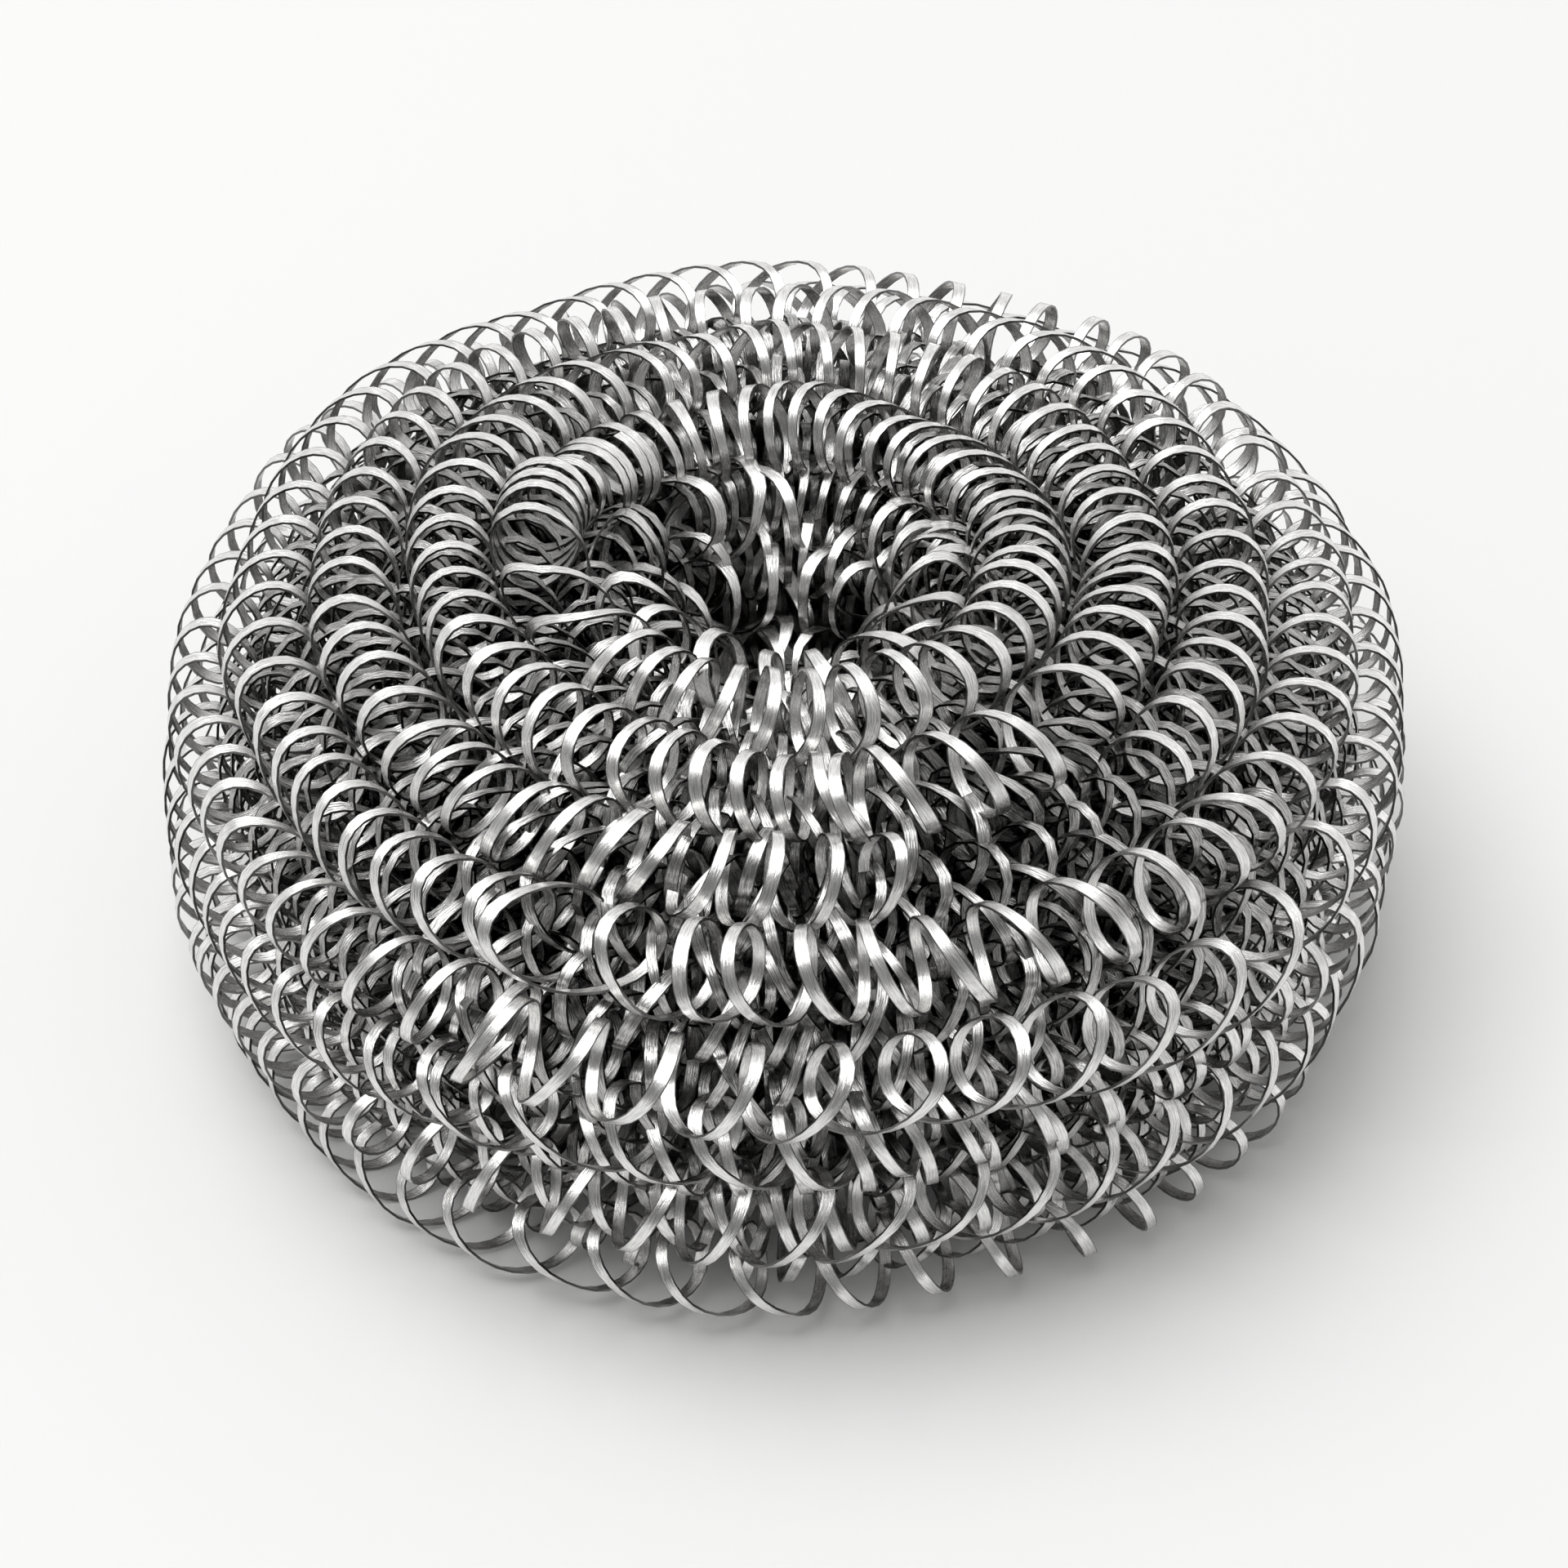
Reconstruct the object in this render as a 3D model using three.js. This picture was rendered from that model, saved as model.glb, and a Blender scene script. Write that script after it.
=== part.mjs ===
// A metal scourer: flat steel ribbon, coiled like a spring and wound row upon row into a soft ring.
// Millimetres, +Z up. The origin is on the table, under the middle of the ring.
import * as THREE from "three";

// Driving dimensions
const padDiameter = 85; // across the outermost coils
const padHeight = 36.4; // from the table to the crown
const coilDiameter = 6.6; // outside of the coiled ribbon
const rowSpacing = 6.6; // from one row of coil to the next
const ribbonWidth = 1.15; // the flat strip that the coil is made of
const grooveDepth = 2.6; // how far the gaps between turns sink in towards the axis of the coil
const navelPitch = 1.9; // from turn to turn where the coil is bunched, in the navel
const waistPitch = 4.6; // and where it is drawn out, round the waist
const navelDiameter = 9; // clear width of the dimple in the middle
const navelWall = 3.2; // straight part of the dimple's wall, under its rounded rim
const undersideWall = 2.4; // the same in the dimple underneath
const rimDrop = 5.3; // from the crown down to where the navel's wall is straight
const crownDiameter = 37; // ring along which the pad is highest
const waistHeight = 20; // where the pad is widest
const footDiameter = 67; // where the side turns under, onto the table
const shoulderAngle = THREE.MathUtils.degToRad(25); // half the flat along a row's back
const valleyAngle = THREE.MathUtils.degToRad(68); // where a row meets the next one

const coilRadius = coilDiameter / 2;
const navelRadius = navelDiameter / 2 + coilRadius; // to the axis of the coil, as are the next three
const waistRadius = padDiameter / 2 - coilRadius;
const crownHeight = padHeight - coilRadius;
const footHeight = coilRadius;

// The pad's half section as the line that the axis of the coil follows, from the floor of the navel
// over the crown, down the side and along the table to the dimple underneath. x is the radius, y is Z.
function windingLine() {
  const crownRadius = crownDiameter / 2;
  const footRadius = footDiameter / 2;
  const rimWidth = crownRadius - navelRadius;
  const rimHeight = crownHeight - rimDrop;
  const undersideRimHeight = footHeight + rimDrop;
  const crownWidth = waistRadius - crownRadius;
  const crownRise = crownHeight - waistHeight;
  const footTuck = waistRadius - footRadius;
  const footDrop = waistHeight - footHeight;
  const quarter = Math.PI / 2;
  const line = new THREE.Path();
  line.moveTo(navelRadius, rimHeight - navelWall);
  line.lineTo(navelRadius, rimHeight);
  line.absellipse(crownRadius, rimHeight, rimWidth, rimDrop, 2 * quarter, quarter, true);
  line.absellipse(crownRadius, waistHeight, crownWidth, crownRise, quarter, 0, true);
  line.absellipse(footRadius, waistHeight, footTuck, footDrop, 0, -quarter, true);
  line.lineTo(crownRadius, footHeight);
  line.absellipse(crownRadius, undersideRimHeight, rimWidth, rimDrop, -quarter, -2 * quarter, true);
  line.lineTo(navelRadius, undersideRimHeight + undersideWall);
  return line;
}

// Each row of coil has its place on the winding line, the way it faces, and its turns.
function rowsOfCoil(line) {
  const count = Math.round(line.getLength() / rowSpacing);
  const rows = [];
  for (let i = 0; i <= count; i++) {
    const centre = line.getPoint(i / count);
    const along = line.getTangent(i / count);
    const outward = new THREE.Vector2(-along.y, along.x);
    const drawnOut = (centre.x - navelRadius) / (waistRadius - navelRadius);
    const pitch = THREE.MathUtils.lerp(navelPitch, waistPitch, drawnOut);
    const turns = Math.round((2 * Math.PI * centre.x) / pitch);
    const lean = i % 2 ? 1 : -1; // neighbouring rows lean opposite ways
    rows.push({ centre, along, outward, turns, lean });
  }
  return rows;
}

// The lines that draw one turn along a row's back: the two edges of the ribbon and the gap beside it, each
// with its share of a turn and its depth. Down in the valleys a turn narrows to one line.
function linesOnBack(row) {
  const halfRibbon = (ribbonWidth * row.turns) / (4 * Math.PI * row.centre.x);
  const gap = { share: 0.5, depth: grooveDepth };
  return [{ share: -halfRibbon, depth: 0 }, { share: halfRibbon, depth: 0 }, gap];
}
const linesInValley = [{ share: 0, depth: 0 }];

// A closed loop round the pad, at one angle across a row. A turn leans as a helix does, so its lines
// move along the row as the angle goes across it.
function loopRoundPad(row, angle, circle, lines) {
  const loop = [];
  for (let turn = 0; turn < row.turns; turn++) {
    for (const { share, depth } of lines) {
      const theta = (2 * Math.PI * (turn + share) + row.lean * angle) / row.turns;
      const reach = circle - depth;
      const place = row.centre
        .clone()
        .addScaledVector(row.outward, reach * Math.cos(angle))
        .addScaledVector(row.along, reach * Math.sin(angle));
      const height = Math.max(place.y, 0); // the table stops the lowest coils
      loop.push({ theta, point: [place.x * Math.cos(theta), place.x * Math.sin(theta), height] });
    }
  }
  return loop;
}

// The loops of one row, in the order that the winding line passes them.
function loopsOfRow(row) {
  const shoulderCircle = coilRadius / Math.cos(shoulderAngle);
  const shoulder = (angle) => loopRoundPad(row, angle, shoulderCircle, linesOnBack(row));
  const valley = (angle) => loopRoundPad(row, angle, coilRadius, linesInValley);
  return [valley(-valleyAngle), shoulder(-shoulderAngle), shoulder(shoulderAngle), valley(valleyAngle)];
}

// Collects points and triangles for one closed skin.
class Skin {
  constructor() {
    this.points = [];
    this.triangles = [];
  }

  addPoint(point) {
    this.points.push(...point);
    return this.points.length / 3 - 1;
  }

  addLoop(loop) {
    return loop.map(({ theta, point }) => ({ theta, index: this.addPoint(point) }));
  }

  // Joins two loops with the same number of points, line to line.
  joinAlike(first, second) {
    first.forEach((corner, i) => {
      const next = (i + 1) % first.length;
      this.triangles.push(corner.index, second[i].index, second[next].index);
      this.triangles.push(corner.index, second[next].index, first[next].index);
    });
  }

  // Joins a loop along a shoulder to the loop in a valley, where each turn's lines meet in one point.
  joinToValley(shoulder, valley, valleyIsNext) {
    const perTurn = shoulder.length / valley.length;
    const addFace = (a, b, c) => {
      if (valleyIsNext) this.triangles.push(a.index, b.index, c.index);
      else this.triangles.push(b.index, a.index, c.index);
    };
    valley.forEach((foot, turn) => {
      const nextFoot = valley[(turn + 1) % valley.length];
      const first = turn * perTurn;
      const gap = first + perTurn - 1;
      for (let i = first; i < gap; i++) addFace(shoulder[i], foot, shoulder[i + 1]);
      addFace(shoulder[gap], foot, nextFoot);
      addFace(shoulder[gap], nextFoot, shoulder[(gap + 1) % shoulder.length]);
    });
  }

  // Joins two loops with different numbers of points, always stepping along the one that lags behind.
  joinByAngle(first, second) {
    const fullTurn = 2 * Math.PI;
    const at = (loop, i) => loop[i % loop.length].index;
    const angle = (loop, i) => loop[i % loop.length].theta + fullTurn * Math.floor(i / loop.length);
    let i = 0;
    let j = 0;
    while (i < first.length || j < second.length) {
      const firstLags = angle(first, i + 1) <= angle(second, j + 1);
      if (j >= second.length || (i < first.length && firstLags)) {
        this.triangles.push(at(first, i), at(second, j), at(first, i + 1));
        i += 1;
      } else {
        this.triangles.push(at(first, i), at(second, j), at(second, j + 1));
        j += 1;
      }
    }
  }

  // Closes a loop with a disc that faces up or down.
  closeWithDisc(loop, height, facesUp) {
    const middle = this.addPoint([0, 0, height]);
    loop.forEach((corner, i) => {
      const next = loop[(i + 1) % loop.length];
      if (facesUp) this.triangles.push(middle, corner.index, next.index);
      else this.triangles.push(middle, next.index, corner.index);
    });
  }

  toGeometry() {
    const geometry = new THREE.BufferGeometry();
    geometry.setAttribute("position", new THREE.Float32BufferAttribute(this.points, 3));
    geometry.setIndex(this.triangles);
    geometry.computeVertexNormals();
    return geometry;
  }
}

// The whole pad as one skin: every row's loops in turn, and a disc at the end of each dimple.
function woundPad() {
  const rows = rowsOfCoil(windingLine());
  const skin = new Skin();
  let previous = null;
  for (const row of rows) {
    const loops = loopsOfRow(row).map((loop) => skin.addLoop(loop));
    const [firstValley, firstShoulder, secondShoulder, secondValley] = loops;
    if (previous) skin.joinByAngle(previous, firstValley);
    else skin.closeWithDisc(firstValley, row.centre.y - coilRadius, true);
    skin.joinToValley(firstShoulder, firstValley, false);
    skin.joinAlike(firstShoulder, secondShoulder);
    skin.joinToValley(secondShoulder, secondValley, true);
    previous = secondValley;
  }
  skin.closeWithDisc(previous, rows.at(-1).centre.y + coilRadius, false);
  return skin.toGeometry();
}

const steel = new THREE.MeshStandardMaterial({ color: 0xb4b3ae, roughness: 0.28, metalness: 1 });
const coil = new THREE.Mesh(woundPad(), steel);
coil.name = "scourer_coil";

const scourer = new THREE.Group();
scourer.add(coil);

export default scourer;
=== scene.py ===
# %% [markdown]
# # A metal scourer of coiled steel ribbon
# The real thing is flat steel ribbon, coiled like a spring, and the coil is wound row upon row into a
# soft ring. It could be drawn as one bumpy solid, but light passes between the turns of the real one, and
# that is most of its look. So this lesson builds it much as it is made: a wire, a ribbon drawn from the
# wire, a row of coil, and a ring of many rows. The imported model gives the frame, and everything here is
# in metres.

# %% Load the frame
import math
import random

import bpy
import numpy as np
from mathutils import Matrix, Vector


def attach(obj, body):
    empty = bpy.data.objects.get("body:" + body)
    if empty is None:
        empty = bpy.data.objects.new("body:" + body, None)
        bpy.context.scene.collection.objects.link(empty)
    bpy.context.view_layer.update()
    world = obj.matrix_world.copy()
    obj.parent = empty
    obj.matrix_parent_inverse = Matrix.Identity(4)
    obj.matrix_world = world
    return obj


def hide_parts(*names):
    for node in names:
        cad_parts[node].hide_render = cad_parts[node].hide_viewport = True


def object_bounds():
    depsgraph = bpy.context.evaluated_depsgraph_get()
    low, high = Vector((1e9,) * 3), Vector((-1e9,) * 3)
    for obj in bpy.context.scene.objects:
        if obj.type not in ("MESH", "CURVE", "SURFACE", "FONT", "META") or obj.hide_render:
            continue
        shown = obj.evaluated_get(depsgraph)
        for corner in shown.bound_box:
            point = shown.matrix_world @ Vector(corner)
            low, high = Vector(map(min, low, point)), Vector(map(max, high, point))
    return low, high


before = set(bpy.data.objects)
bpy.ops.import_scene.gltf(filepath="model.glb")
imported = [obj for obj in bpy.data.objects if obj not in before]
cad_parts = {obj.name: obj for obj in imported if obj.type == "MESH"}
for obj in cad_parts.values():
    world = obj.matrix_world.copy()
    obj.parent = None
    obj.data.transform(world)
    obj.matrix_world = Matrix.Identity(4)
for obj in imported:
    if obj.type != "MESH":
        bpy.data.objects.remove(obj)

CAD_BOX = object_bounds()
MM = 0.001
print("solid, lowest and highest corner:", [tuple(corner) for corner in CAD_BOX])

# %% [markdown]
# ## The line that the rows follow
# Cut the pad in half, and the rows of coil show as circles set along a line: up the wall of the navel,
# over the crown, down the side, along the table and into the dimple underneath. A curve object could hold
# that line, but only evenly spaced points on it are wanted, so it is worked out from straight stretches
# and quarter ellipses. The pad's width and height come from the frame, and the rest are the pad's own
# sizes.

# %% Sizes of the pad
pad_low, pad_high = CAD_BOX
pad_radius = (pad_high[0] - pad_low[0]) / 2
pad_height = pad_high[2] - pad_low[2]
coil_radius = 3.3 * MM  # half of the room that a row takes up
row_spacing = 6.6 * MM
navel_opening = 4.5 * MM  # clear radius of the hole in the middle
navel_wall = 3.2 * MM  # straight part of the navel's wall
underside_wall = 2.4 * MM  # the same in the dimple underneath
rim_drop = 5.3 * MM  # from the crown down to the straight wall
crown_radius = 18.5 * MM  # where the pad is highest
waist_height = 20 * MM  # where the pad is widest
foot_radius = 33.5 * MM  # where the side turns under
navel_radius = navel_opening + coil_radius
waist_radius = pad_radius - coil_radius
print(f"pad {2 * pad_radius / MM:.1f} mm across and {pad_height / MM:.1f} mm high")

# %% The winding line
points_on_ellipse = 60


def quarter_ellipse(centre, half_width, half_height, start, end):
    """Points on an ellipse in the plane of radius and height, from one angle in degrees to another."""
    angles = np.radians(np.linspace(start, end, points_on_ellipse))
    across = centre[0] + half_width * np.cos(angles)
    up = centre[1] + half_height * np.sin(angles)
    return np.column_stack((across, up))


def winding_line():
    """The line of the outermost rows, from the floor of the navel to the dimple underneath."""
    crown_height = pad_height - coil_radius
    crown_width = waist_radius - crown_radius
    crown_rise = crown_height - waist_height
    rim_width = crown_radius - navel_radius
    rim_height = crown_height - rim_drop
    foot_width = waist_radius - foot_radius
    foot_drop = waist_height - coil_radius
    underside_rim = coil_radius + rim_drop
    return np.vstack((
        [(navel_radius, rim_height - navel_wall)],
        quarter_ellipse((crown_radius, rim_height), rim_width, rim_drop, 180, 90),
        quarter_ellipse((crown_radius, waist_height), crown_width, crown_rise, 90, 0),
        quarter_ellipse((foot_radius, waist_height), foot_width, foot_drop, 0, -90),
        quarter_ellipse((crown_radius, underside_rim), rim_width, rim_drop, -90, -180),
        [(navel_radius, underside_rim + underside_wall)],
    ))


print("the winding line has", len(winding_line()), "points")

# %% Places for the rows
def rows_along(line, spacing):
    """Evenly spaced points along a line, with about the given spacing."""
    steps = np.linalg.norm(np.diff(line, axis=0), axis=1)
    reach = np.concatenate(([0], np.cumsum(steps)))
    count = round(reach[-1] / spacing) + 1
    places = np.linspace(0, reach[-1], count)
    return np.column_stack((np.interp(places, reach, line[:, 0]), np.interp(places, reach, line[:, 1])))


outer_rows = rows_along(winding_line(), row_spacing)
print(len(outer_rows), "rows, radius and height in mm:", np.round(outer_rows / MM, 1).tolist())

# %% [markdown]
# ## A coil of wire
# The real strip is wound on a rod, with its flat side to the rod. A spring can be drawn as a bevelled
# curve, but the bevel twists, and then the flat side no longer faces the axis. So the coil starts as a
# bare wire: one point, which the Screw modifier turns about the X axis while it moves along it. It
# becomes ribbon later, once it has been pulled about, so that the pulling can't change the ribbon's
# width.

# %% Sizes of the ribbon
ribbon_width = 0.82 * MM
ribbon_thickness = 0.16 * MM
turn_radius = 2.95 * MM
bunched_pitch = 1.9 * MM  # from turn to turn in the navel
drawn_out_pitch = 3.9 * MM  # and round the waist
fewest_turns = 8


def turns_in_row(radius):
    """How many turns a row has: they bunch up in the navel and are drawn out round the waist."""
    share = (radius - navel_radius) / (waist_radius - navel_radius)
    pitch = bunched_pitch + (drawn_out_pitch - bunched_pitch) * share
    return max(fewest_turns, round(2 * math.pi * radius / pitch))


print("turns in each outer row:", [turns_in_row(radius) for radius, height in outer_rows])

# %% A straight coil
def only(piece):
    """Selects one piece and makes it active, in object mode."""
    bpy.ops.object.select_all(action="DESELECT")
    piece.select_set(True)
    bpy.context.view_layer.objects.active = piece


def apply(piece, modifier):
    """Applies a modifier that has all its settings."""
    only(piece)
    bpy.ops.object.modifier_apply(modifier=modifier.name)


def coil_wire(name, reach, turns, pitch, lean, steps):
    """A straight coil along X, as a line of points, which leans one way or the other."""
    bpy.ops.object.select_all(action="DESELECT")
    bpy.ops.mesh.primitive_plane_add(size=MM)
    wire = bpy.context.object
    wire.name = name
    wire.data.name = name
    bpy.ops.object.mode_set(mode="EDIT")
    bpy.ops.mesh.select_all(action="SELECT")
    bpy.ops.mesh.merge(type="CENTER")
    bpy.ops.transform.translate(value=(0, 0, reach))
    bpy.ops.object.mode_set(mode="OBJECT")
    screw = wire.modifiers.new("turns", "SCREW")
    screw.axis = "X"
    screw.angle = lean * 2 * math.pi
    screw.screw_offset = pitch
    screw.iterations = turns
    screw.steps = steps
    screw.render_steps = steps
    apply(wire, screw)
    return wire


print(f"a turn is {2 * turn_radius / MM:.1f} mm across, and its ribbon {ribbon_width / MM:.2f} mm wide")

# %% [markdown]
# ## Pulling the turns about
# A new coil is even, and the one in the photo isn't: it is drawn out in some places and bunched in
# others. Every turn could be placed by hand, but there are hundreds. A resize with proportional editing
# draws turns apart or together and fades with distance, and a tug on one point takes its neighbours with
# it.

# %% Draw turns apart, and tug them
def points_of(piece):
    """All the piece's points, as an array."""
    points = np.empty(3 * len(piece.data.vertices))
    piece.data.vertices.foreach_get("co", points)
    return points.reshape(-1, 3)


def take(piece, chosen):
    """Selects the chosen points and opens edit mode."""
    only(piece)
    piece.data.vertices.foreach_set("select", chosen)
    bpy.ops.object.mode_set(mode="EDIT")
    bpy.ops.mesh.select_mode(type="VERT")


def spread_turns(wire, at, half_width, factor, fade):
    """Draws the turns apart, or pushes them together, about one place along the coil."""
    take(wire, np.abs(points_of(wire)[:, 0] - at) < half_width)
    bpy.ops.transform.resize(value=(factor, 1, 1), center_override=(at, 0, 0), use_proportional_edit=True,
                             proportional_edit_falloff="SMOOTH", proportional_size=fade)
    bpy.ops.object.mode_set(mode="OBJECT")


def tug(wire, index, pull, fade):
    """Pulls one point of the wire, and the wire on both sides of it follows."""
    take(wire, np.arange(len(wire.data.vertices)) == index)
    bpy.ops.transform.translate(value=pull, use_proportional_edit=True, use_proportional_connected=True,
                                proportional_edit_falloff="SMOOTH", proportional_size=fade)
    bpy.ops.object.mode_set(mode="OBJECT")


print(f"before any pull, turns lie {bunched_pitch / MM:.1f} to {drawn_out_pitch / MM:.1f} mm apart")

# %% Tug here and there
tug_along = 0.35  # in shares of the distance from turn to turn
tug_across = 0.4  # in mm
tug_fades = (12, 26)  # in mm


def tug_by_chance(coil, rng, looseness, tugs, steps, pitch):
    """Tugs a few points that chance picks, but none in the first or last two turns."""
    last = len(coil.data.vertices) - 1
    for _ in range(tugs):
        index = rng.randrange(2 * steps, last - 2 * steps)
        along = rng.uniform(-tug_along, tug_along) * pitch
        outward = rng.uniform(-tug_across, tug_across) * MM
        up = rng.uniform(-tug_across, tug_across) * MM
        fade = rng.uniform(*tug_fades) * MM
        tug(coil, index, looseness * Vector((along, outward, up)), fade)


print("a tug reaches", tug_fades, "mm along the wire")

# %% [markdown]
# ## Tipping the turns
# In the photo few turns stand square to their row. At the sides of the pad they lean back, and in front
# and behind they run aslant, so that each one shows as an open U. The Shear operator would tip them, but
# it needs a window, and the tip changes all the way round the pad. So the points are moved along the coil
# in code.

# %% Tip the turns
shoulder_out = 0.74  # the pad's shoulder faces out by this share
shoulder_up = 0.67  # and up by this one
diagonal_lean = 0.6  # between the front and the sides
back_opening = 0.15  # the turns behind open wider than those in front, by twice this share


def slant(wire, length, front, lean, lean_back, steepen, widen):
    """Tips the turns: those at the sides lean back, and those in front and behind run aslant."""
    points = points_of(wire)
    round_pad = 2 * np.pi * (points[:, 0] - front) / length
    outward = points[:, 1]
    up = points[:, 2]
    side = np.sin(round_pad)
    face = np.cos(round_pad)
    nearer = face * outward
    tall = shoulder_out * up - shoulder_up * nearer
    deep = shoulder_up * up + shoulder_out * nearer
    opening = widen * (1 + back_opening - back_opening * face)
    points[:, 0] += side * (lean_back * up + diagonal_lean * face * outward)
    points[:, 0] += lean * face ** 2 * (steepen * tall + opening * deep)
    wire.data.vertices.foreach_set("co", points.ravel())


shoulder_angle = math.degrees(math.atan2(shoulder_up, shoulder_out))
print(f"the shoulder faces {shoulder_angle:.0f} degrees above the table")

# %% [markdown]
# ## Loosening the turns
# Winding and packing leave small bends and uneven gaps in every turn. They could be sculpted, but two
# Displace modifiers with cloud textures give them to all the rows. A vertex group says how far the coil
# may stray: most in front, and not at all at its two ends, so that the ring still closes. An empty gives
# each row its own part of a cloud.

# %% Clouds
def cloud(name, size):
    """A coloured cloud texture, one colour for each direction."""
    texture = bpy.data.textures.new(name, "CLOUDS")
    texture.cloud_type = "COLOR"
    texture.noise_scale = size
    texture.noise_depth = 0
    return texture


pad_lumps = cloud("pad_lumps", 20 * MM)
turn_gaps = cloud("turn_gaps", 13 * MM)
turn_bends = cloud("turn_bends", 7 * MM)
for texture in (pad_lumps, turn_gaps, turn_bends):
    print(f"{texture.name}: {texture.noise_scale / MM:.0f} mm")

# %% Stray by the clouds
fixed_end = 8 * MM  # over which looseness grows from nothing
front_share = 0.17  # of the row's length, to each side of the front
looseness_all_round = 0.7
looseness_in_front = 0.2  # added to it


def mark_looseness(wire, length, front):
    """The vertex group of how far the turns may stray, from 0 to 1."""
    along = points_of(wire)[:, 0]
    ends = np.clip(np.minimum(along, length - along) / fixed_end, 0, 1)
    near_front = np.exp(-((along - front) / (front_share * length)) ** 2)
    group = wire.vertex_groups.new(name="looseness")
    for index, weight in enumerate(ends * (looseness_all_round + looseness_in_front * near_front)):
        group.add([index], weight, "REPLACE")


def stray(coil, texture, direction, strength, marker):
    """Displaces the coil by a cloud that is read from the marker's place."""
    push = coil.modifiers.new(texture.name, "DISPLACE")
    push.texture = texture
    push.texture_coords = "OBJECT"
    push.texture_coords_object = marker
    push.direction = direction
    push.strength = strength
    push.mid_level = 0.5
    push.vertex_group = "looseness"
    apply(coil, push)


def marker_at(place):
    """An empty that a cloud is read from, so that each row reads another part of it."""
    bpy.ops.object.select_all(action="DESELECT")
    bpy.ops.object.empty_add(location=place)
    bpy.context.view_layer.update()
    return bpy.context.object


print(f"looseness {looseness_all_round} all round, and {looseness_in_front} more in front")

# %% [markdown]
# ## From wire to ribbon
# The real strip is rolled flat, several times as wide as it is thick. A curve with a flat bevel would do
# for a straight piece. Here the wire is extruded along the coil's axis, which lays the flat side against
# the rod everywhere, and Solidify gives it its thickness. A UV map follows the strip, for the marks of
# rolling.

# %% Draw the wire out into ribbon
strip_step = 10  # between the UV maps of two rows, so that they don't share their marks


def draw_ribbon(wire, width, row_number):
    """Extrudes the wire along X into a strip, with a UV map in mm along it and from 0 to 1 across it."""
    count = len(wire.data.vertices)
    only(wire)
    bpy.ops.object.mode_set(mode="EDIT")
    bpy.ops.mesh.select_all(action="SELECT")
    bpy.ops.mesh.extrude_region_move(TRANSFORM_OT_translate={"value": (width, 0, 0)})
    bpy.ops.mesh.normals_make_consistent(inside=False)
    bpy.ops.object.mode_set(mode="OBJECT")
    steps = np.linalg.norm(np.diff(points_of(wire)[:count], axis=0), axis=1)
    along = np.concatenate(([0], np.cumsum(steps))) / MM
    corner = np.empty(len(wire.data.loops), dtype=int)
    wire.data.loops.foreach_get("vertex_index", corner)
    across = (corner >= count) + strip_step * row_number
    strip_map = wire.data.uv_layers.new(name="along_ribbon")
    strip_map.data.foreach_set("uv", np.column_stack((along[corner % count], across)).ravel())


def thicken(strip):
    """Gives the flat strip its thickness."""
    strip.vertex_groups.clear()
    sheet = strip.modifiers.new("thickness", "SOLIDIFY")
    sheet.thickness = ribbon_thickness
    sheet.offset = 0
    apply(strip, sheet)


print(f"the ribbon is {ribbon_width / ribbon_thickness:.1f} times as wide as it is thick")

# %% [markdown]
# ## From coil to ring
# On the real pad a row seems to run on into the next one, as a spiral. The eye can't follow that, so each
# row here is a ring of its own, which is easier to place. The Curve modifier bends the straight coil
# round a circle, and its ends are welded. Then the row takes on the pad's lumps, which all rows share,
# and what is below the table is pressed up to it, as the pad's weight does.

# %% Lay a coil round a ring
route_steps = 64  # between two of the circle's four points
weld_distance = 0.02 * MM


def ring_route(radius):
    """A circle round the pad's axis, for a coil to follow."""
    bpy.ops.object.select_all(action="DESELECT")
    bpy.ops.curve.primitive_bezier_circle_add(radius=radius)
    ring = bpy.context.object
    ring.data.resolution_u = route_steps
    bpy.context.view_layer.update()
    return ring


def lay_round(coil, ring, place, seam):
    """Bends a straight coil round the ring, closes it, turns its front to the front, and places it."""
    bend = coil.modifiers.new("round the ring", "CURVE")
    bend.object = ring
    bend.deform_axis = "POS_X"
    apply(coil, bend)
    bpy.data.objects.remove(ring)
    bpy.ops.object.mode_set(mode="EDIT")
    bpy.ops.mesh.select_all(action="SELECT")
    bpy.ops.mesh.remove_doubles(threshold=weld_distance)
    bpy.ops.mesh.normals_make_consistent(inside=False)
    bpy.ops.transform.rotate(value=-seam, orient_axis="Z", center_override=(0, 0, 0))
    bpy.ops.transform.translate(value=place)
    bpy.ops.object.mode_set(mode="OBJECT")


print("the route of a ring has", 4 * route_steps, "steps")

# %% Lumps, and the table
lump_strength = 1.7 * MM
pressed_height = 2.5 * MM  # below this, turns give way to the table


def make_lumpy(coil):
    """Moves a row with the pad's lumps, which all the rows share."""
    push = coil.modifiers.new("lumps", "DISPLACE")
    push.texture = pad_lumps
    push.texture_coords = "LOCAL"
    push.direction = "RGB_TO_XYZ"
    push.strength = lump_strength
    push.mid_level = 0.5
    apply(coil, push)


def press_on_table(coil):
    """Flattens what hangs below the table, so that the turns rest on it."""
    lowest = points_of(coil)[:, 2].min()
    if lowest < 0:
        squash = pressed_height / (pressed_height - lowest)
        take(coil, points_of(coil)[:, 2] < pressed_height)
        bpy.ops.transform.resize(value=(1, 1, squash), center_override=(0, 0, pressed_height))
        bpy.ops.object.mode_set(mode="OBJECT")


print(f"lumps of {lump_strength / MM:.1f} mm, and the lowest {pressed_height / MM:.1f} mm give way")

# %% [markdown]
# ## Loops and cuts of their own
# Here and there on the real pad one loop stands out from its row, or the ribbon is cut and its ends stick
# out. They could be pieces of their own, but a tug on the wire leaves a loop joined to its row, and a few
# points deleted from the wire leave two ends. Directions are in degrees from +X, and -90 is the front.

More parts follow.
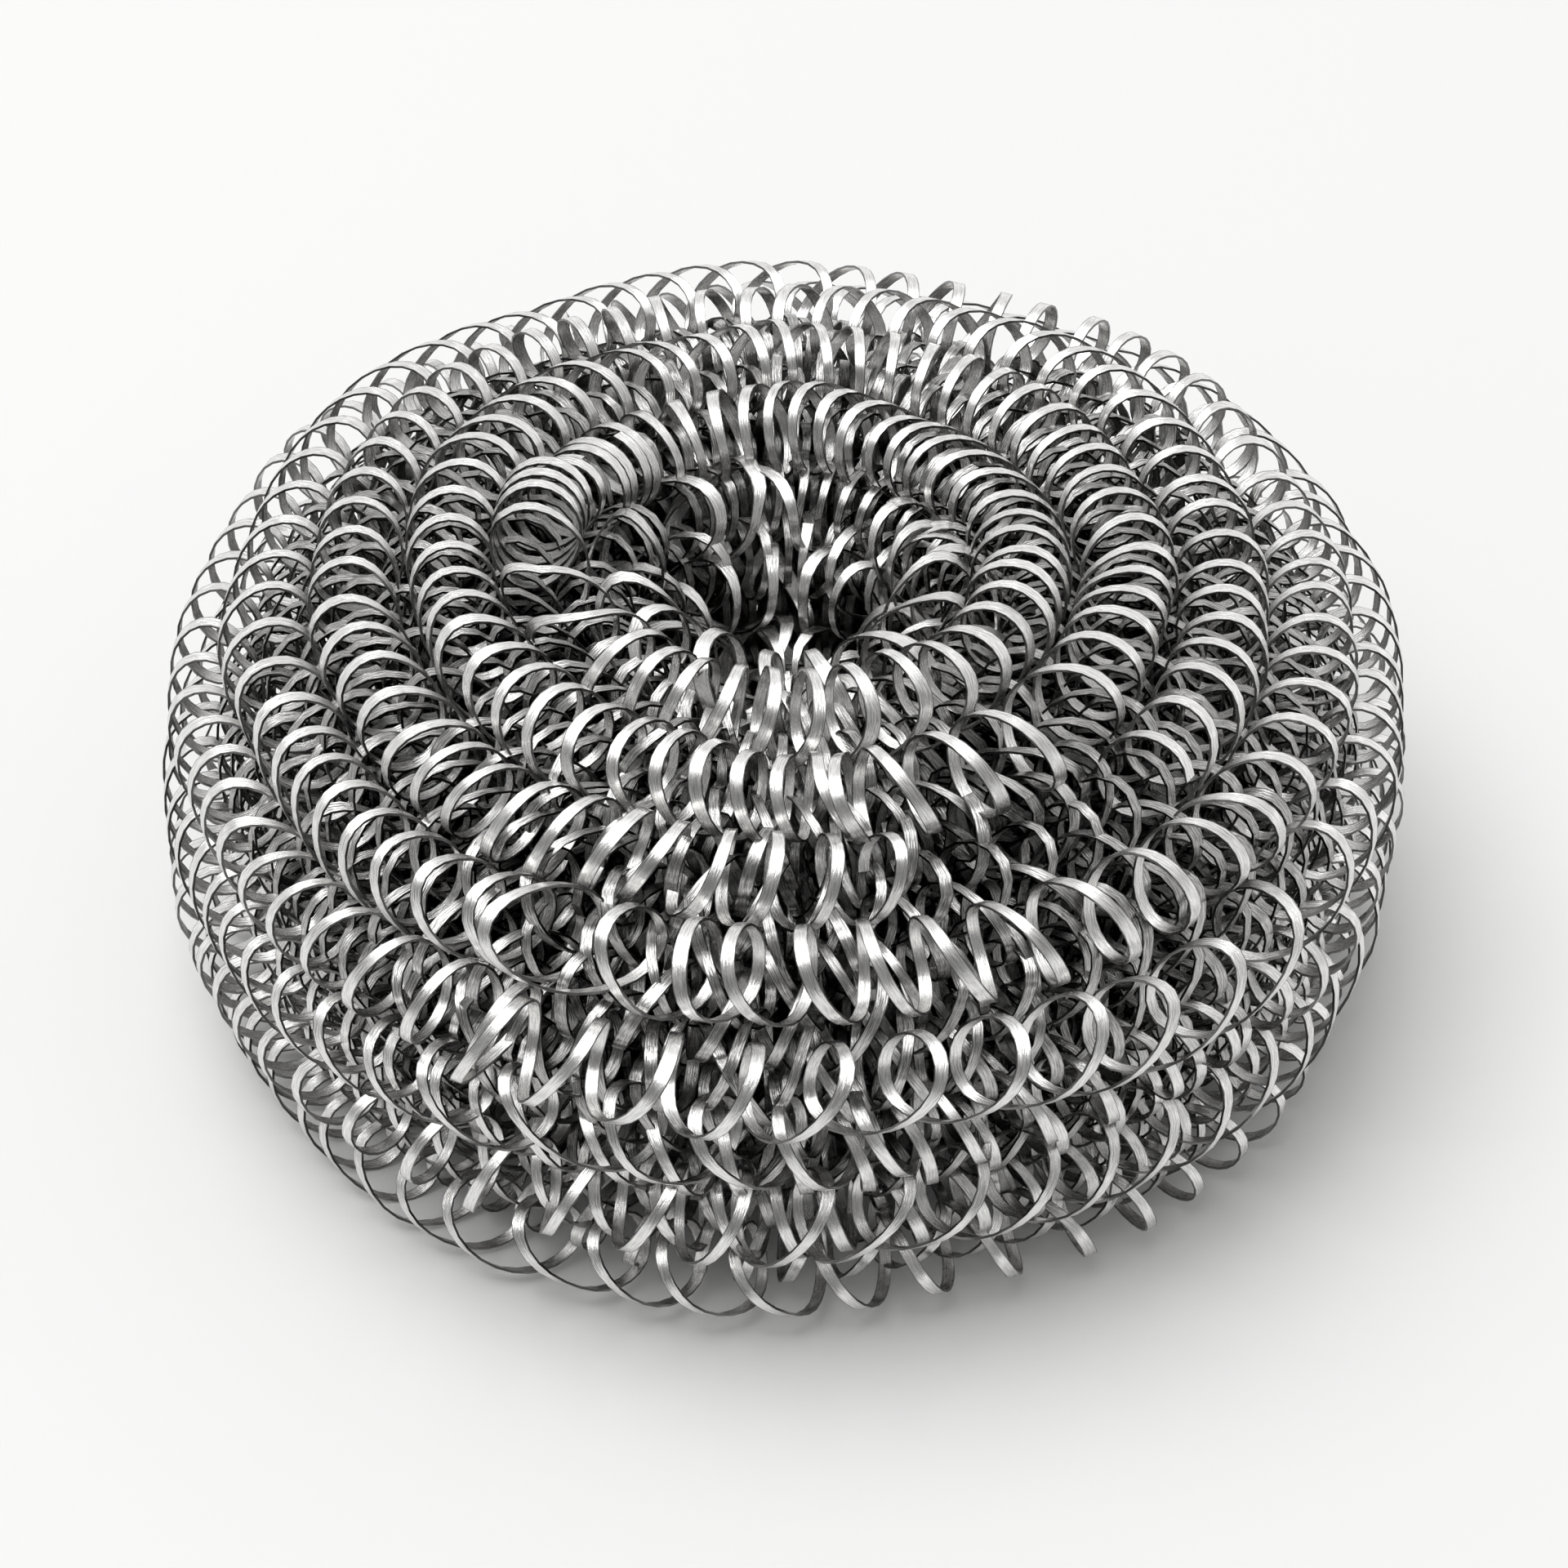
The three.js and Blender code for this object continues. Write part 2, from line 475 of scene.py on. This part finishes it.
# %% Loops and cuts
loose_loops = {3: (-49,), 4: (-43,), 5: (-112,), 6: (-60,)}
cut_ends = {4: (-50, 9)}
loop_along = 0.6  # in shares of the distance from turn to turn
loop_outward = 1.6 * MM
loop_up = 1.3 * MM
loop_fade = 11 * MM
nearness = 4  # how much more a point's place along the coil counts than how far it stands out
cuts_in_turn = 6  # a cut takes out a sixth of a turn


def place_along(direction, seam, length):
    """How far along the coil a direction round the pad lies."""
    return length * ((seam - (direction + 90) / 360) % 1)


def turn_at(wire, at):
    """The point that stands out most in the turn at one place along the coil."""
    points = points_of(wire)
    return int(np.argmax(points[:, 1] + points[:, 2] - nearness * np.abs(points[:, 0] - at)))


def cut_out(wire, first, count):
    """Cuts a stretch out of the wire, which leaves two loose ends."""
    index = np.arange(len(wire.data.vertices))
    take(wire, (index >= first) & (index < first + count))
    bpy.ops.mesh.delete(type="VERT")
    bpy.ops.object.mode_set(mode="OBJECT")


def loops_and_cuts(coil, number, seam, length, pitch, steps):
    """Pulls out the loops that stand out from a row, and cuts the row where it is cut."""
    for direction in loose_loops.get(number, ()):
        index = turn_at(coil, place_along(direction, seam, length))
        tug(coil, index, (loop_along * pitch, loop_outward, loop_up), loop_fade)
    for direction in cut_ends.get(number, ()):
        cut_out(coil, turn_at(coil, place_along(direction, seam, length)), steps // cuts_in_turn)


print("rows with a loop that stands out:", list(loose_loops), "and rows that are cut:", list(cut_ends))

# %% [markdown]
# ## One row, from wire to ring
# Every row of the real pad is the same coil in another place, so one function makes them all, in the
# order of the steps above. A row's number seeds its own chance, so that a change to one row leaves the
# others as they are. Neighbouring rows lean opposite ways, as they do in the photo.

# %% What chance and the lists give a row
seam_shares = (0.3, 0.7)  # how far along a row its front lies, so that its ends meet away from there
turn_sizes = (0.97, 1.05)  # in shares of the usual turn
cloud_reach = 1  # metres, many times the size of a cloud
gap_share = 0.8  # in shares of the distance from turn to turn
bend_size = 0.9  # in mm
usual_looseness = (0.7, 4)  # how loose a row is, and how many tugs it gets
steepen_by_chance = (0.1, 0.25)
widen_by_chance = (0, 0.15)
usual_lean_back = 0.65
lean_backs = {1: 0.75, 2: 0.42, 3: 0.45, 4: 0.48, 5: 0.55}
slants = {  # how much a row's front turns are steepened and widened
    1: (0.05, 0.28), 2: (0.05, 0.36), 3: (0.08, 0.36), 4: (0.12, 0.36), 5: (0.18, 0.42), 6: (0.2, 0.48),
    7: (0.2, 0.5), 8: (0.2, 0.5), 9: (0.2, 0.5),
}
for number, (steepen, widen) in slants.items():
    print(f"row {number}: its front turns are steeper by {steepen} and wider by {widen}")

# %% One row
outer_steps = 24  # in a turn


def coil_row(number, place, turns, pulls=(), loose=usual_looseness, steps=outer_steps, width=ribbon_width,
             shift=0.0):
    """One row of coil at a radius and a height, with its pulls, and its looseness and tugs."""
    rng = random.Random(number)
    radius, height = place
    looseness, tugs = loose
    seam = rng.uniform(*seam_shares)
    ring = ring_route(radius)
    length = ring.data.splines[0].calc_length()
    front = length * seam
    pitch = length / turns
    lean = 1 if number % 2 else -1
    reach = turn_radius * rng.uniform(*turn_sizes)
    coil = coil_wire(f"row_{number}", reach, turns, pitch, lean, steps)
    for direction, half_width, factor, fade in pulls:
        at = place_along(direction, seam, length)
        spread_turns(coil, at, half_width * length, factor, fade * length)
    slant_by_chance = (rng.uniform(*steepen_by_chance), rng.uniform(*widen_by_chance))
    steepen, widen = slants.get(number, slant_by_chance)
    slant(coil, length, front, lean, lean_backs.get(number, usual_lean_back), steepen, widen)
    tug_by_chance(coil, rng, looseness, tugs, steps, pitch)
    loops_and_cuts(coil, number, seam, length, pitch, steps)
    mark_looseness(coil, length, front)
    marker = marker_at([rng.uniform(-cloud_reach, cloud_reach) for _ in range(3)])
    stray(coil, turn_gaps, "X", looseness * gap_share * pitch, marker)
    draw_ribbon(coil, width, number)
    stray(coil, turn_bends, "RGB_TO_XYZ", looseness * bend_size * MM, marker)
    bpy.data.objects.remove(marker)
    thicken(coil)
    lay_round(coil, ring, (shift, 0, height), seam * 2 * math.pi)
    make_lumpy(coil)
    press_on_table(coil)
    return coil


print("a turn of an outer row has", outer_steps, "steps")

# %% Gather rows into a piece
smooth_below = math.radians(40)  # sharper edges, such as the ribbon's own, stay crisp


def gather(name, rows):
    """Joins rows into one named piece."""
    bpy.ops.object.select_all(action="DESELECT")
    for row in rows:
        row.select_set(True)
    bpy.context.view_layer.objects.active = rows[0]
    bpy.ops.object.join()
    piece = bpy.context.object
    piece.name = name
    piece.data.name = name
    bpy.ops.object.shade_smooth_by_angle(angle=smooth_below)
    triangles = sum(len(face.vertices) - 2 for face in piece.data.polygons)
    print(f"{name}: {len(rows)} rows, {triangles} triangles")
    return piece


print(f"edges under {math.degrees(smooth_below):.0f} degrees are shaded smooth")

# %% [markdown]
# ## The outer rows
# These are the rows that the photo shows. Spaced evenly along the winding line they would look too neat,
# so most are listed one by one, by radius and height, where the photo has them. Pulls draw out the turns
# in front and bunch them beside the navel. The two rows in the navel have fewer, looser turns of slightly
# wider ribbon.

# %% Where the outer rows lie
placed_by_hand = {  # radius and height in mm
    1: (10.2, 29.4), 2: (15.7, 31.9), 3: (22.4, 32.2), 4: (28.7, 30.9), 5: (34.4, 28.3), 6: (38.4, 23.8),
    7: (39.5, 17.6), 8: (38.9, 10.6), 9: (37.2, 3.6), 10: (30.6, 3.2), 11: (23.6, 3.2),
}
for number, place in placed_by_hand.items():
    outer_rows[number] = np.array(place) * MM
shifts = {7: -0.2 * MM, 8: -0.6 * MM, 9: -0.8 * MM}  # the pad sags to one side
print("rows, radius and height in mm:", np.round(outer_rows / MM, 1).tolist())

# %% How the outer rows are pulled
# A pull is a direction in degrees, half of its reach, its factor, and its fade. Reach and fade are shares
# of the row's length. A factor over 1 draws the turns apart, and one under 1 bunches them.
usual_pulls = [(-75, 0.08, 1.2, 0.22)]
pulls_in_row = {
    0: [],
    1: [(85, 0.06, 0.5, 0.1), (165, 0.05, 1.7, 0.1)],
    2: [(192, 0.04, 0.42, 0.08), (-75, 0.03, 1.2, 0.2)],
    3: [(-58, 0.03, 1.2, 0.12)],
    4: [(-60, 0.04, 1.15, 0.15)],
    5: [(-72, 0.06, 1.12, 0.2)],
}
loose_rows = {
    0: (2.0, 9), 1: (1.4, 8), 2: (1.15, 10), 3: (0.9, 8), 4: (0.9, 8), 5: (0.85, 8), 6: (0.9, 8),
    7: (0.9, 8), 8: (0.9, 8), 9: (0.8, 8),
}
turns_by_hand = {0: 11, 1: 17}
wide_ribbon = 1.0 * MM
widths = {0: wide_ribbon, 1: wide_ribbon}
print("rows with their own pulls:", list(pulls_in_row), "and their own looseness:", list(loose_rows))

# %% Wind the outer rows
first_side_row = 6
first_underside_row = 10
outer = []
for i, place in enumerate(outer_rows):
    turns = turns_by_hand.get(i, turns_in_row(place[0]))
    pulls = pulls_in_row.get(i, usual_pulls)
    loose = loose_rows.get(i, usual_looseness)
    width = widths.get(i, ribbon_width)
    outer.append(coil_row(i, place, turns, pulls, loose, width=width, shift=shifts.get(i, 0)))
crown_rows = gather("crown_rows", outer[:first_side_row])
side_rows = gather("side_rows", outer[first_side_row:first_underside_row])

# %% [markdown]
# ## Rows at the foot and in the valleys
# Between two rows the photo shows more ribbon, not a dark slot. Wider rows would close the slots, but
# they would hide the edges of the turns. So looser rows lie a little deeper: some at the foot, where the
# side turns under, and some in the valleys of the crown and the waist.

# %% Rows at the foot
loose_between = (1.2, 7)
foot_places = [(35.3, 7.2), (33.7, 3.3), (36.0, 13.6)]  # radius and height in mm
for i, place in enumerate(np.array(foot_places) * MM, start=len(outer)):
    outer.append(coil_row(i, place, turns_in_row(place[0]), loose=loose_between))
underside_rows = gather("underside_rows", outer[first_underside_row:])

# %% Rows in the valleys
valley_places = [(24.8, 28.2), (30.0, 26.5), (33.7, 23.7), (35.4, 20.1)]  # radius and height in mm
valley_pitch = 4.2 * MM
between = []
for i, place in enumerate(np.array(valley_places) * MM, start=len(outer)):
    turns = round(2 * math.pi * place[0] / valley_pitch)
    between.append(coil_row(i, place, turns, loose=loose_between))
valley_rows = gather("valley_rows", between)

# %% [markdown]
# ## The rows inside
# The real pad is coil all the way through, and glints of it show between the outer turns. A dark core
# would hide the gaps, but it would look solid. Three more layers follow the winding line further in. They
# are only glimpsed, so their turns have fewer steps and narrower ribbon.

# %% Three layers inside
layer_depths = (4.3 * MM, 8.4 * MM, 12.4 * MM)
layer_spacing = 5.0 * MM
fine_spacing = 0.4 * MM
inner_steps = 16
inner_width = 0.7 * MM
inner_looseness = (1.4, 7)


def inset_line(line, depth):
    """The winding line, moved into the pad."""
    line = rows_along(line, fine_spacing)
    along = np.gradient(line, axis=0)
    outward = np.column_stack((-along[:, 1], along[:, 0]))
    outward /= np.linalg.norm(outward, axis=1)[:, None]
    return line - depth * outward


layers = []
for layer, depth in enumerate(layer_depths, start=1):
    rows = []
    for i, place in enumerate(rows_along(inset_line(winding_line(), depth), layer_spacing)):
        number = 100 * layer + i  # each layer counts from its own hundred
        turns = turns_in_row(place[0])
        rows.append(coil_row(number, place, turns, (), inner_looseness, inner_steps, inner_width))
    layers.append(gather(f"inner_rows_{layer}", rows))

# %% [markdown]
# ## The web that closes the navel
# No table shows through the hole in the middle: the innermost turns tangle and close it. Such a tangle
# could be drawn as curves by hand. Four small coils, so loose that they lose their order, give the same
# look.

# %% The web
web_looseness = 2.6
web_coils = [  # number, radius and height in mm, turns, tugs and width
    (400, (4.6, 20.0), 7, 8, 0.9 * MM),
    (401, (9.6, 25.6), 14, 14, ribbon_width),
    (402, (2.2, 18.4), 6, 6, 0.8 * MM),
    (403, (2.6, 14.6), 7, 6, 0.8 * MM),
]
web_rows = []
for number, place, turns, tugs, width in web_coils:
    loose = (web_looseness, tugs)
    web_rows.append(coil_row(number, np.array(place) * MM, turns, (), loose, inner_steps, width))
navel_web = gather("navel_web", web_rows)

# %% [markdown]
# ## Marks of rolling, and shade at the edges
# The strip was rolled flat and slit from a wider sheet. Rolling gives it fine streaks along it and cloudy
# patches, and its edges are darkened with painted shade. A picture of brushed metal would show seams and
# blur. Noise that is stretched along the strip's own UV map follows every turn, and as a node group it
# serves all three steels.

# %% Helpers for nodes
def map_range(tree, value, start, end, low=0.0, high=1.0, smooth=False):
    """Takes a value from one range to another, evenly or with a smooth start and end."""
    node = tree.nodes.new("ShaderNodeMapRange")
    if smooth:
        node.interpolation_type = "SMOOTHSTEP"
    node.inputs["From Min"].default_value = start
    node.inputs["From Max"].default_value = end
    node.inputs["To Min"].default_value = low
    node.inputs["To Max"].default_value = high
    tree.links.new(value, node.inputs["Value"])
    return node.outputs["Result"]


def combine(tree, operation, first, second):
    """Adds or multiplies two values, or takes the larger."""
    node = tree.nodes.new("ShaderNodeMath")
    node.operation = operation
    tree.links.new(first, node.inputs[0])
    tree.links.new(second, node.inputs[1])
    return node.outputs["Value"]


print("node groups so far:", len(bpy.data.node_groups))

# %% Grain of the ribbon, and painted shade at its edges
marks_of_rolling = {"Streaks": ((1.1, 8, 1), 5), "Patches": ((0.7, 1.6, 1), 4)}  # scales and detail
noise_middle = (0.3, 0.7)  # the part of the noise's range that is spread from 0 to 1
edge_band = (0.02, 0.09)  # where the painted edge shade fades, in shares of the ribbon's width


def grain_and_edge_shade():
    """The marks on the strip: streaks along it, cloudy patches, and painted shade along its edges."""
    group = bpy.data.node_groups.new("grain_and_edge_shade", "ShaderNodeTree")
    group.interface.new_socket("Strip", in_out="INPUT", socket_type="NodeSocketVector")
    for name in ("Streaks", "Patches", "Edges"):
        group.interface.new_socket(name, in_out="OUTPUT", socket_type="NodeSocketFloat")
    strip = group.nodes.new("NodeGroupInput").outputs["Strip"]
    marks = group.nodes.new("NodeGroupOutput")
    for name, (scale, detail) in marks_of_rolling.items():
        stretch = group.nodes.new("ShaderNodeMapping")
        stretch.inputs["Scale"].default_value = scale
        group.links.new(strip, stretch.inputs["Vector"])
        noise = group.nodes.new("ShaderNodeTexNoise")
        noise.inputs["Scale"].default_value = 1.0
        noise.inputs["Detail"].default_value = detail
        group.links.new(stretch.outputs["Vector"], noise.inputs["Vector"])
        group.links.new(map_range(group, noise.outputs["Fac"], *noise_middle), marks.inputs[name])
    # painted shade along both edges of the strip, fading inwards
    parts = group.nodes.new("ShaderNodeSeparateXYZ")
    group.links.new(strip, parts.inputs["Vector"])
    fold = group.nodes.new("ShaderNodeMath")
    fold.operation = "PINGPONG"
    fold.inputs[1].default_value = 0.5
    group.links.new(parts.outputs["Y"], fold.inputs[0])
    edge = map_range(group, fold.outputs["Value"], *edge_band, 1.0, 0.0, smooth=True)
    group.links.new(edge, marks.inputs["Edges"])
    return group


grain_and_shade_group = grain_and_edge_shade()
print(grain_and_shade_group.name, "has", len(grain_and_shade_group.nodes), "nodes")

# %% [markdown]
# ## Steel
# The ribbon is bright steel that mirrors the room in short streaks. A plain metal shader would mirror too
# evenly, so colour, roughness and a slight bump follow the grain, and the gloss is stretched along the
# strip. Deep in the real pad light goes from turn to turn many times and dies away. A render follows only
# a few bounces, so the rows below and inside are given darker copies of the steel, which is painted
# shade.

# %% A steel
gloss_stretch = 0.35
edge_shade = 0.3  # painted shade along the edges, as a share of the darker colour
streak_bump = 0.5
streak_depth = 0.03 * MM


def mix_colours(tree, factor, second):
    """A mix from a first colour, still to be given, to a second one."""
    node = tree.nodes.new("ShaderNodeMix")
    node.data_type = "RGBA"
    node.inputs["B"].default_value = (*second, 1)
    tree.links.new(factor, node.inputs["Factor"])
    return node


def steel(name, dark, bright, smooth, rough):
    """Rolled steel strip between two colours and two roughnesses."""
    material = bpy.data.materials.new(name)
    material.use_nodes = True
    tree = material.node_tree
    shader = tree.nodes["Principled BSDF"]
    shader.inputs["Metallic"].default_value = 1.0
    shader.inputs["Anisotropic"].default_value = gloss_stretch
    strip = tree.nodes.new("ShaderNodeUVMap")
    strip.uv_map = "along_ribbon"
    grain_and_shade = tree.nodes.new("ShaderNodeGroup")
    grain_and_shade.node_tree = grain_and_shade_group
    tree.links.new(strip.outputs["UV"], grain_and_shade.inputs["Strip"])
    rolled = tree.nodes.new("ShaderNodeTangent")
    rolled.direction_type = "UV_MAP"
    rolled.uv_map = "along_ribbon"
    tree.links.new(rolled.outputs["Tangent"], shader.inputs["Tangent"])
    colour = mix_colours(tree, grain_and_shade.outputs["Streaks"], bright)
    colour.inputs["A"].default_value = (*dark, 1)
    # painted shade along the ribbon's edges
    painted_edge_shade = mix_colours(tree, grain_and_shade.outputs["Edges"], [edge_shade * part for part in dark])
    tree.links.new(colour.outputs["Result"], painted_edge_shade.inputs["A"])
    tree.links.new(painted_edge_shade.outputs["Result"], shader.inputs["Base Color"])
    gloss = map_range(tree, grain_and_shade.outputs["Patches"], 0.0, 1.0, smooth, rough)
    tree.links.new(gloss, shader.inputs["Roughness"])
    bump = tree.nodes.new("ShaderNodeBump")
    bump.inputs["Strength"].default_value = streak_bump
    bump.inputs["Distance"].default_value = streak_depth
    tree.links.new(grain_and_shade.outputs["Streaks"], bump.inputs["Height"])
    tree.links.new(bump.outputs["Normal"], shader.inputs["Normal"])
    print(f"{name}: roughness {smooth} to {rough}")
    return material


bright_steel = steel("steel_ribbon", (0.58, 0.575, 0.565), (0.94, 0.935, 0.92), 0.17, 0.33)
# the two darker copies of the same steel are painted shade, for the rows below and inside
half_shaded_steel = steel("steel_ribbon_half_shaded", (0.22, 0.218, 0.214), (0.66, 0.655, 0.645), 0.12, 0.24)
shaded_steel = steel("steel_ribbon_shaded", (0.06, 0.06, 0.058), (0.28, 0.278, 0.273), 0.12, 0.28)

# %% Steel on every piece
# the darker copies on the valley rows and the layers inside are painted shade
first_layer, second_layer, third_layer = layers
steel_copies = [
    (crown_rows, bright_steel), (side_rows, bright_steel), (underside_rows, bright_steel),
    (valley_rows, half_shaded_steel), (first_layer, half_shaded_steel), (second_layer, shaded_steel),
    (third_layer, shaded_steel), (navel_web, bright_steel),
]
for piece, finish in steel_copies:
    piece.data.materials.append(finish)
    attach(piece, "root")
    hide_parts("scourer_coil")
    print(f"{piece.name} is {finish.name}")

# %% [markdown]
# ## The floor
# The pad lies on white paper that runs out of sight. A curved backdrop would do that for one view only. A
# wide flat floor does it for all of them: near the pad it is plain paper, which keeps the shadow, and
# further away it fades to even white. Light Path keeps that white to what is seen or mirrored, so it
# doesn't light the pad.

# %% The floor
floor_size = 8
bpy.ops.object.select_all(action="DESELECT")
bpy.ops.mesh.primitive_plane_add(size=floor_size)
floor = bpy.context.object
floor.name = "floor"
paper = bpy.data.materials.new("paper")
paper.use_nodes = True
floor.data.materials.append(paper)
paper_tree = paper.node_tree
paper_shader = paper_tree.nodes["Principled BSDF"]
paper_shader.inputs["Base Color"].default_value = (0.9, 0.9, 0.895, 1)
paper_shader.inputs["Roughness"].default_value = 0.9
print(f"floor {floor_size} m across")

# %% White far from the pad
white_from = 0.2
white_beyond = 0.7
spot = paper_tree.nodes.new("ShaderNodeTexCoord")
away = paper_tree.nodes.new("ShaderNodeVectorMath")
away.operation = "LENGTH"
paper_tree.links.new(spot.outputs["Object"], away.inputs[0])
far = map_range(paper_tree, away.outputs["Value"], white_from, white_beyond, smooth=True)
eye = paper_tree.nodes.new("ShaderNodeLightPath")
glanced = combine(paper_tree, "MAXIMUM", eye.outputs["Is Camera Ray"], eye.outputs["Is Glossy Ray"])
sighted = combine(paper_tree, "MAXIMUM", glanced, eye.outputs["Is Transmission Ray"])
glow = paper_tree.nodes.new("ShaderNodeEmission")
glow.inputs["Strength"].default_value = 1.0
blend = paper_tree.nodes.new("ShaderNodeMixShader")
paper_tree.links.new(combine(paper_tree, "MULTIPLY", far, sighted), blend.inputs["Fac"])
paper_tree.links.new(paper_shader.outputs["BSDF"], blend.inputs[1])
paper_tree.links.new(glow.outputs["Emission"], blend.inputs[2])
paper_tree.links.new(blend.outputs["Shader"], paper_tree.nodes["Material Output"].inputs["Surface"])
print(f"the paper turns white from {white_from} to {white_beyond} m away")

# %% [markdown]
# ## The light
# Steel shows what is round it, so the room matters more than the lamp. A set of softboxes could be built,
# but a world with a few smooth steps gives the same reflections without noise: a bright back wall, a pale
# sweep near the floor, and a little more from overhead and from the right. One large softbox gives the
# shadow.

# %% The room in the world
scene = bpy.context.scene
scene.view_settings.view_transform = "Standard"
world = bpy.data.worlds.new("studio")
scene.world = world
world.use_nodes = True
sky = world.node_tree
direction = sky.nodes.new("ShaderNodeTexCoord")
axes = sky.nodes.new("ShaderNodeSeparateXYZ")
sky.links.new(direction.outputs["Generated"], axes.inputs["Vector"])


def ramp(axis, start, end, low, high):
    """A smooth step in the sky along one axis."""
    return map_range(sky, axes.outputs[axis], start, end, low, high, smooth=True)


back_wall = ramp("Y", -0.6, 0.5, 0.2, 0.9)
sweep = combine(sky, "MULTIPLY", ramp("Z", 0.0, 0.4, 0.35, 0.0), ramp("Y", -0.9, -0.2, 0.3, 1.0))
overhead = ramp("Z", 0.62, 0.92, 0.0, 0.15)
right_wall = ramp("X", 0.1, 0.8, 0.0, 0.15)
walls = combine(sky, "ADD", back_wall, sweep)
room = combine(sky, "ADD", walls, combine(sky, "ADD", overhead, right_wall))
print("the room is", len(sky.nodes), "nodes so far")

# %% What the room lights, and what is seen of it
even_light = 0.48  # on whatever isn't a mirror
rays = sky.nodes.new("ShaderNodeLightPath")
mirrored = combine(sky, "MAXIMUM", rays.outputs["Is Glossy Ray"], rays.outputs["Is Transmission Ray"])
lighting = sky.nodes.new("ShaderNodeMix")
lighting.inputs["A"].default_value = even_light
sky.links.new(mirrored, lighting.inputs["Factor"])
sky.links.new(room, lighting.inputs["B"])
strength = sky.nodes.new("ShaderNodeMix")
strength.inputs["B"].default_value = 1.0
sky.links.new(rays.outputs["Is Camera Ray"], strength.inputs["Factor"])
sky.links.new(lighting.outputs["Result"], strength.inputs["A"])
backdrop = sky.nodes["Background"]
backdrop.inputs["Color"].default_value = (1, 1, 1, 1)
sky.links.new(strength.outputs["Result"], backdrop.inputs["Strength"])
print("even light", even_light, "and a white backdrop")

# %% The softbox
key_place = Vector((-0.42, 0.0, 1.58))
key_target = Vector((0, 0, 0.02))
key_lamp = bpy.data.lights.new("key_softbox", "AREA")
key_lamp.size = 1.3
key_lamp.energy = 19.2
key_softbox = bpy.data.objects.new("key_softbox", key_lamp)
bpy.context.collection.objects.link(key_softbox)
key_softbox.location = key_place
key_softbox.rotation_euler = (key_target - key_place).to_track_quat("-Z", "Y").to_euler()
print(f"softbox {key_lamp.size:.1f} m wide, {key_lamp.energy:.1f} W")

# %% [markdown]
# ## The camera
# The photo looks down on the pad from in front, through a long lens. The camera's height and distance
# were found by fitting the ring's rows to the photo. It is placed by an angle and a distance from the
# point that it looks at, so that each can be changed by itself.

# %% The camera
camera_distance = 300 * MM
camera_elevation = math.radians(41.9)
aim = Vector((-0.38 * MM, 0, 12.93 * MM))
lens_view = bpy.data.cameras.new("photo_camera")
lens_view.sensor_width = 36
lens_view.lens = 99.5
lens_view.clip_start = 0.01
camera = bpy.data.objects.new("photo_camera", lens_view)
bpy.context.collection.objects.link(camera)
back_off = Vector((0, -math.cos(camera_elevation), math.sin(camera_elevation)))
camera.location = aim + camera_distance * back_off
camera.rotation_euler = (-back_off).to_track_quat("-Z", "Y").to_euler()
scene.camera = camera
print(f"camera {camera.location.z / MM:.0f} mm above the table")
